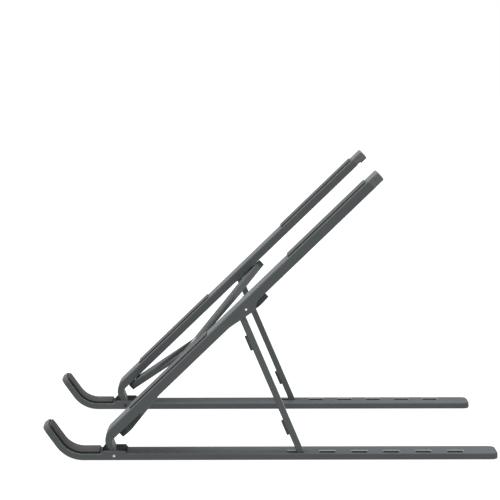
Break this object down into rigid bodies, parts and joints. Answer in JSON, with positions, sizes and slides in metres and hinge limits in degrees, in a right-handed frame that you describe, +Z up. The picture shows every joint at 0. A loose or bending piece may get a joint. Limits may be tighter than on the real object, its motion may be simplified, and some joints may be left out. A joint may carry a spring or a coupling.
{
  "type": "folding laptop stand",
  "caption": "Folding metal laptop stand: hooked base rails, tilted support arms on prop legs and a scissoring cross brace that lets it close narrow.",
  "frame": {"origin": "on the table, midway between the hooks and the rear ends and between the two sides", "axes": "+X from the hooks to the rear ends, +Y to the user's left, +Z up"},
  "size_m": [0.251, 0.184, 0.1588],
  "materials": {
    "rail_metal": "satin grey anodised",
    "arm_metal": "satin grey anodised",
    "leg_metal": "satin grey anodised",
    "bar_metal": "satin grey anodised",
    "hook_silicone": "matt brown-grey silicone",
    "pad_silicone": "matt grey silicone",
    "foot_silicone": "matt dark silicone",
    "cap_plastic": "fine moulded texture",
    "bumper_rubber": "matt black rubber",
    "pin_steel": "bright turned steel",
    "bush_nylon": "natural nylon"
  },
  "bodies": {
    "right_rail": {"right_base_rail": "rail_metal", "right_hook_pad": "hook_silicone", "right_front_foot": "foot_silicone", "right_rear_foot": "foot_silicone", "right_hinge_pin": "pin_steel"},
    "right_arm": {"right_support_arm": "arm_metal", "right_end_cap": "cap_plastic", "right_lower_pad": "pad_silicone", "right_upper_pad": "pad_silicone", "right_leg_pin": "pin_steel"},
    "right_leg": {"right_prop_leg": "leg_metal", "right_upper_bumper": "bumper_rubber", "right_lower_bumper": "bumper_rubber"},
    "left_rail": {"left_base_rail": "rail_metal", "left_hook_pad": "hook_silicone", "left_front_foot": "foot_silicone", "left_rear_foot": "foot_silicone", "left_hinge_pin": "pin_steel"},
    "left_arm": {"left_support_arm": "arm_metal", "left_end_cap": "cap_plastic", "left_lower_pad": "pad_silicone", "left_upper_pad": "pad_silicone", "left_leg_pin": "pin_steel"},
    "left_leg": {"left_prop_leg": "leg_metal", "left_upper_bumper": "bumper_rubber", "left_lower_bumper": "bumper_rubber"},
    "upper_bar": {"cross_bar_upper": "bar_metal", "cross_centre_rivet": "pin_steel", "right_front_rivet": "pin_steel", "left_slide_pin": "pin_steel", "left_slide_bush": "bush_nylon"},
    "lower_bar": {"cross_bar_lower": "bar_metal", "left_front_rivet": "pin_steel", "right_slide_pin": "pin_steel", "right_slide_bush": "bush_nylon"}
  },
  "joints": [
    {"name": "tilt", "type": "hinge", "parent": "right_rail", "child": "right_arm", "pos_m": [-0.08636, -0.081, 0.00275], "axis": [0, -1, 0], "range_deg": [0, 35]},
    {"name": "right_leg_swing", "type": "hinge", "parent": "right_arm", "child": "right_leg", "pos_m": [-0.01362, -0.08555, 0.08376], "axis": [0, -1, 0], "range_deg": [0, 110]},
    {"name": "cross_fold", "type": "hinge", "parent": "right_arm", "child": "upper_bar", "pos_m": [-0.07883, -0.07695, 0.01683], "axis": [0.6947, 0, -0.7193], "range_deg": [0, 51.57]},
    {"name": "bar_scissor", "type": "hinge", "parent": "upper_bar", "child": "lower_bar", "pos_m": [-0.04225, 0, 0.05216], "axis": [-0.6947, 0, 0.7193], "range_deg": [0, 103.13]},
    {"name": "left_arm_fold", "type": "hinge", "parent": "lower_bar", "child": "left_arm", "pos_m": [-0.07883, 0.07695, 0.01683], "axis": [0.6947, 0, -0.7193], "range_deg": [0, 51.57]},
    {"name": "left_tilt", "type": "hinge", "parent": "left_arm", "child": "left_rail", "pos_m": [-0.08636, 0.081, 0.00275], "axis": [0, 1, 0], "range_deg": [0, 35]},
    {"name": "left_leg_swing", "type": "hinge", "parent": "left_arm", "child": "left_leg", "pos_m": [-0.01362, 0.08555, 0.08376], "axis": [0, -1, 0], "range_deg": [0, 110]}
  ],
  "couplings": [
    {"joint": "bar_scissor", "follows": "cross_fold", "ratio": 2},
    {"joint": "left_arm_fold", "follows": "cross_fold", "ratio": 1},
    {"joint": "left_tilt", "follows": "tilt", "ratio": 1}
  ]
}
